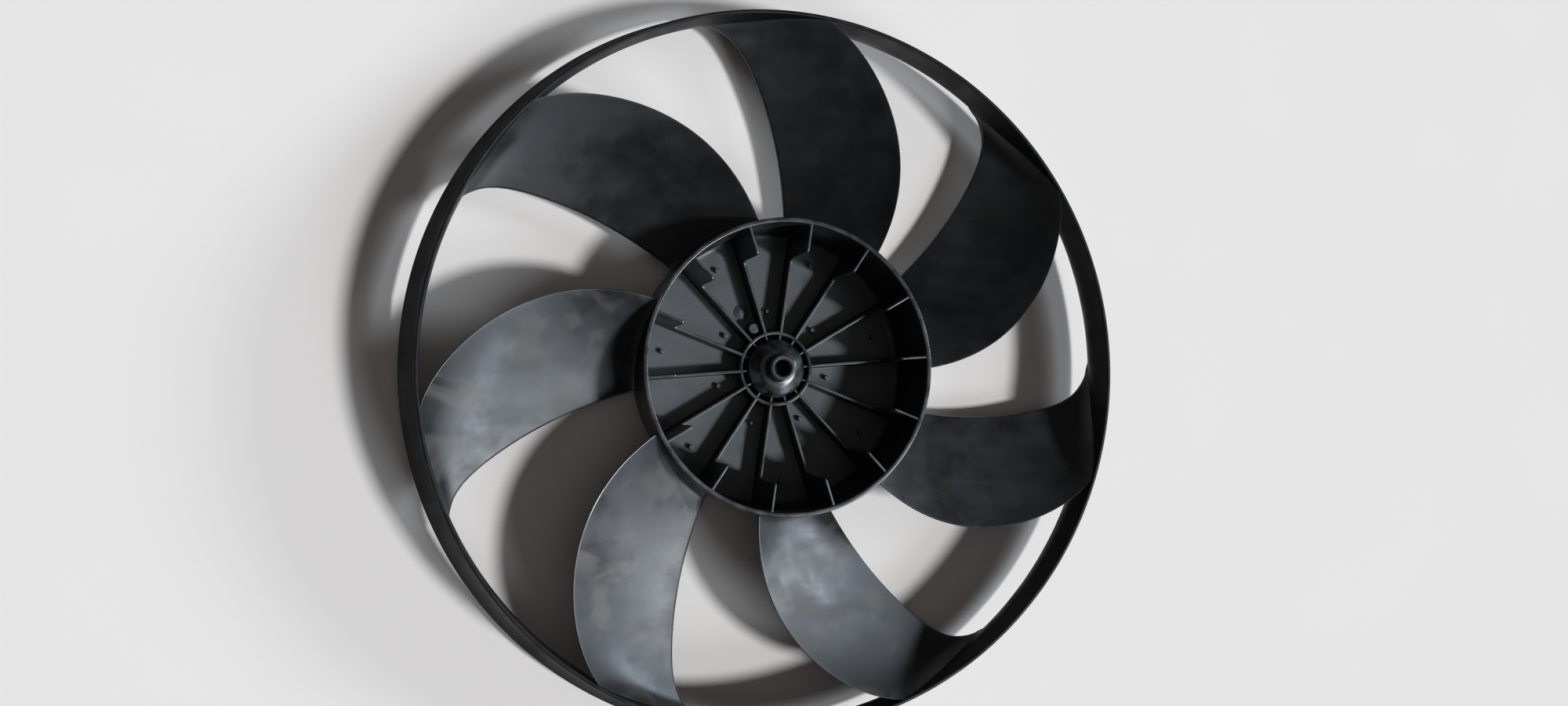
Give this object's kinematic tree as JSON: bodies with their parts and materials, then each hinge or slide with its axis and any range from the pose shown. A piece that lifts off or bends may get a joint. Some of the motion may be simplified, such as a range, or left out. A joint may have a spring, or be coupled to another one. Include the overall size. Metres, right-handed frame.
{
  "type": "radiator fan blade",
  "caption": "One-piece moulded radiator fan: a ribbed cup hub with a shaft bore, swept blades and an outer ring that flares into a bellmouth on the inlet side.",
  "frame": {"origin": "centre of the hub's flat front face, on the shaft axis", "axes": "+Z along the shaft axis towards the motor side, where the hub is open; +X where the first blade's trailing edge leaves the hub"},
  "size_m": [0.3694, 0.3694, 0.042],
  "materials": {
    "black_plastic": "black moulded plastic with a satin skin, dusty and a little scuffed"
  },
  "bodies": {
    "root": {"fan": "black_plastic"}
  },
  "joints": []
}
